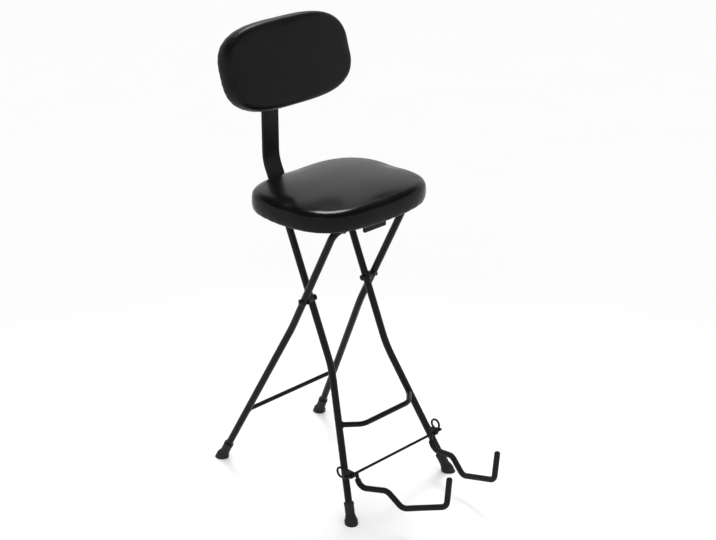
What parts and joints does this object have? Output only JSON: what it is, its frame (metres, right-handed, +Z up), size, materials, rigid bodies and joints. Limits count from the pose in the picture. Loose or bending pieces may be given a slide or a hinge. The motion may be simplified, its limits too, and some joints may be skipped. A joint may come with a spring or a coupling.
{
  "type": "folding guitar stool",
  "caption": "Folding padded stool with crossed tube legs, bowed footrest bar, padded backrest on a flat bar and a swing-up sleeved guitar hanger at the front.",
  "frame": {"origin": "on the floor, in the middle of the stool's floor rectangle, hanger arms included", "axes": "+Z up, -Y the way the sitter faces, +X the sitter's left"},
  "size_m": [0.3665, 0.6526, 1.0299],
  "materials": {
    "black_steel": "satin black powder coat",
    "zinc_steel": "bright zinc",
    "foot_rubber": "matte",
    "sleeve_rubber": "matte",
    "black_plastic": "matte",
    "black_vinyl": "semi-gloss vinyl",
    "plywood": "stained black"
  },
  "bodies": {
    "front_frame": {"front_leg_left": "black_steel", "front_leg_right": "black_steel", "hinge_bar": "black_steel", "footrest_bar": "black_steel", "front_foot_left": "foot_rubber", "front_foot_right": "foot_rubber", "hanger_lugs": "black_steel", "pivot_bolts": "black_steel", "pivot_nuts": "black_steel", "pivot_spacers": "black_plastic"},
    "rear_frame": {"rear_leg_left": "black_steel", "rear_leg_right": "black_steel", "rest_bar": "black_steel", "rear_stretcher": "black_steel", "rear_foot_left": "foot_rubber", "rear_foot_right": "foot_rubber"},
    "seat": {"seat_board": "plywood", "seat_cushion": "black_vinyl", "hinge_blocks": "black_plastic", "hinge_screws": "zinc_steel", "front_catch": "black_steel", "catch_screws": "zinc_steel", "bar_guide": "black_steel", "guide_screws": "zinc_steel", "clamp_nut": "zinc_steel"},
    "clamp": {"clamp_knob": "black_plastic", "clamp_screw": "zinc_steel"},
    "backrest_post": {"backrest_bar": "black_steel", "tilt_knuckle": "black_steel"},
    "backrest": {"backrest_board": "plywood", "backrest_cushion": "black_vinyl", "tilt_bracket": "black_steel", "bracket_screws": "zinc_steel", "tilt_bolt": "zinc_steel", "tilt_nut": "zinc_steel"},
    "hanger": {"hanger_rod": "black_steel", "hanger_eyes": "black_steel", "hanger_arm_left": "black_steel", "hanger_arm_right": "black_steel", "arm_sleeve_left": "sleeve_rubber", "arm_sleeve_right": "sleeve_rubber"}
  },
  "joints": [
    {"name": "frame_fold", "type": "hinge", "parent": "front_frame", "child": "rear_frame", "pos_m": [0, 0.08058, 0.45027], "axis": [-1, 0, 0], "range_deg": [0, 45]},
    {"name": "seat_lift", "type": "hinge", "parent": "front_frame", "child": "seat", "pos_m": [0, 0.15713, 0.628], "axis": [-1, 0, 0], "range_deg": [0, 99]},
    {"name": "hanger_fold", "type": "hinge", "parent": "front_frame", "child": "hanger", "pos_m": [0, -0.09086, 0.101], "axis": [-1, 0, 0], "range_deg": [0, 99]},
    {"name": "backrest_slide", "type": "slide", "parent": "seat", "child": "backrest_post", "axis": [0, 1, 0], "range_m": [-0.02, 0.03]},
    {"name": "backrest_tilt", "type": "hinge", "parent": "backrest_post", "child": "backrest", "pos_m": [0, 0.27164, 0.92315], "axis": [-1, 0, 0], "range_deg": [-15, 10]},
    {"name": "knob_turn", "type": "hinge", "parent": "seat", "child": "clamp", "pos_m": [0, 0.07763, 0.63], "axis": [0, 0, 1], "range_deg": [-180, 180]}
  ],
  "couplings": [
    {"joint": "seat_lift", "follows": "frame_fold", "ratio": 2.2}
  ]
}
